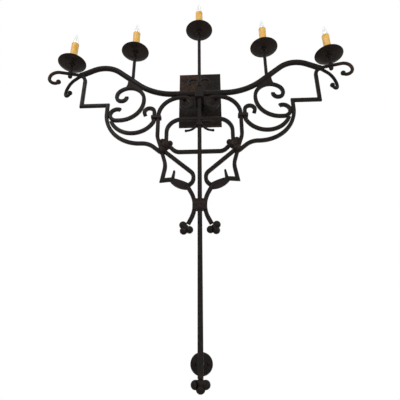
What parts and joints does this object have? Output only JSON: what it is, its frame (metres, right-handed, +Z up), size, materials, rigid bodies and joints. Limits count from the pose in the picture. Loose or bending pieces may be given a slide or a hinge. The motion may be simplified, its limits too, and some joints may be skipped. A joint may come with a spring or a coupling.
{
  "type": "wall sconce",
  "caption": "Forged iron wall sconce: scrolled arms carry candle-style lamps on drip pans over a backplate, with a long shaft running down to a round wall foot.",
  "frame": {"origin": "centre of the backplate's opening on the wall, on the mounting strap's back face", "axes": "+Z up, +Y into the wall, +X to the right seen from the room"},
  "size_m": [1.0504, 0.1439, 1.3759],
  "materials": {
    "forged_iron": "hammered, waxed black-brown",
    "wax": "satin amber candle sleeve",
    "lamp_glass": "clear",
    "brass_cap": "satin screw shell",
    "phenolic": "moulded lamp holder",
    "zinc_steel": "zinc plated"
  },
  "bodies": {
    "ironwork": {"arch_bar": "forged_iron", "backplate": "forged_iron", "ball_nuts": "forged_iron", "c_scroll_left": "forged_iron", "c_scroll_right": "forged_iron", "candle_sleeve_centre": "wax", "candle_sleeve_inner_left": "wax", "candle_sleeve_inner_right": "wax", "candle_sleeve_outer_left": "wax", "candle_sleeve_outer_right": "wax", "candle_stem_centre": "forged_iron", "candle_stem_inner_left": "forged_iron", "candle_stem_inner_right": "forged_iron", "candle_stem_outer_left": "forged_iron", "candle_stem_outer_right": "forged_iron", "centre_collar": "forged_iron", "crescent_hook_left": "forged_iron", "crescent_hook_right": "forged_iron", "crossbar": "forged_iron", "diagonal_bar_left": "forged_iron", "diagonal_bar_right": "forged_iron", "drip_pan_centre": "forged_iron", "drip_pan_inner_left": "forged_iron", "drip_pan_inner_right": "forged_iron", "drip_pan_outer_left": "forged_iron", "drip_pan_outer_right": "forged_iron", "foot_disc": "forged_iron", "foot_post": "forged_iron", "foot_screws": "forged_iron", "hub": "forged_iron", "knot_left": "forged_iron", "knot_right": "forged_iron", "lamp_sockets": "phenolic", "leaf_spray": "forged_iron", "lower_bar_left": "forged_iron", "lower_bar_right": "forged_iron", "main_arm_left": "forged_iron", "main_arm_right": "forged_iron", "mounting_strap": "zinc_steel", "plate_cap_nuts": "forged_iron", "ram_horns": "forged_iron", "shaft": "forged_iron", "side_bar_left": "forged_iron", "side_bar_right": "forged_iron", "side_collars": "forged_iron", "step_bar_left": "forged_iron", "step_bar_right": "forged_iron"},
    "screw_shell_centre": {"bulb_base_centre": "brass_cap"},
    "bulb_centre": {"bulb_glass_centre": "lamp_glass"},
    "screw_shell_inner_left": {"bulb_base_inner_left": "brass_cap"},
    "bulb_inner_left": {"bulb_glass_inner_left": "lamp_glass"},
    "screw_shell_inner_right": {"bulb_base_inner_right": "brass_cap"},
    "bulb_inner_right": {"bulb_glass_inner_right": "lamp_glass"},
    "screw_shell_outer_left": {"bulb_base_outer_left": "brass_cap"},
    "bulb_outer_left": {"bulb_glass_outer_left": "lamp_glass"},
    "screw_shell_outer_right": {"bulb_base_outer_right": "brass_cap"},
    "bulb_outer_right": {"bulb_glass_outer_right": "lamp_glass"}
  },
  "joints": [
    {"name": "bulb_lift_centre", "type": "slide", "parent": "ironwork", "child": "screw_shell_centre", "axis": [0, 0, 1], "range_m": [0, 0.0127]},
    {"name": "bulb_turn_centre", "type": "hinge", "parent": "screw_shell_centre", "child": "bulb_centre", "pos_m": [0, -0.08, 0.1], "axis": [0, 0, 1], "range_deg": [0, 1800]},
    {"name": "bulb_lift_inner_left", "type": "slide", "parent": "ironwork", "child": "screw_shell_inner_left", "axis": [0, 0, 1], "range_m": [0, 0.0127]},
    {"name": "bulb_turn_inner_left", "type": "hinge", "parent": "screw_shell_inner_left", "child": "bulb_inner_left", "pos_m": [-0.236, -0.08, 0.1], "axis": [0, 0, 1], "range_deg": [0, 1800]},
    {"name": "bulb_lift_inner_right", "type": "slide", "parent": "ironwork", "child": "screw_shell_inner_right", "axis": [0, 0, 1], "range_m": [0, 0.0127]},
    {"name": "bulb_turn_inner_right", "type": "hinge", "parent": "screw_shell_inner_right", "child": "bulb_inner_right", "pos_m": [0.236, -0.08, 0.1], "axis": [0, 0, 1], "range_deg": [0, 1800]},
    {"name": "bulb_lift_outer_left", "type": "slide", "parent": "ironwork", "child": "screw_shell_outer_left", "axis": [0, 0, 1], "range_m": [0, 0.0127]},
    {"name": "bulb_turn_outer_left", "type": "hinge", "parent": "screw_shell_outer_left", "child": "bulb_outer_left", "pos_m": [-0.45924, -0.09442, 0.1], "axis": [0, 0, 1], "range_deg": [0, 1800]},
    {"name": "bulb_lift_outer_right", "type": "slide", "parent": "ironwork", "child": "screw_shell_outer_right", "axis": [0, 0, 1], "range_m": [0, 0.0127]},
    {"name": "bulb_turn_outer_right", "type": "hinge", "parent": "screw_shell_outer_right", "child": "bulb_outer_right", "pos_m": [0.45924, -0.09442, 0.1], "axis": [0, 0, 1], "range_deg": [0, 1800]}
  ],
  "couplings": [
    {"joint": "bulb_turn_centre", "follows": "bulb_lift_centre", "rad_per_m": 2473.7},
    {"joint": "bulb_turn_inner_left", "follows": "bulb_lift_inner_left", "rad_per_m": 2473.7},
    {"joint": "bulb_turn_inner_right", "follows": "bulb_lift_inner_right", "rad_per_m": 2473.7},
    {"joint": "bulb_turn_outer_left", "follows": "bulb_lift_outer_left", "rad_per_m": 2473.7},
    {"joint": "bulb_turn_outer_right", "follows": "bulb_lift_outer_right", "rad_per_m": 2473.7}
  ]
}
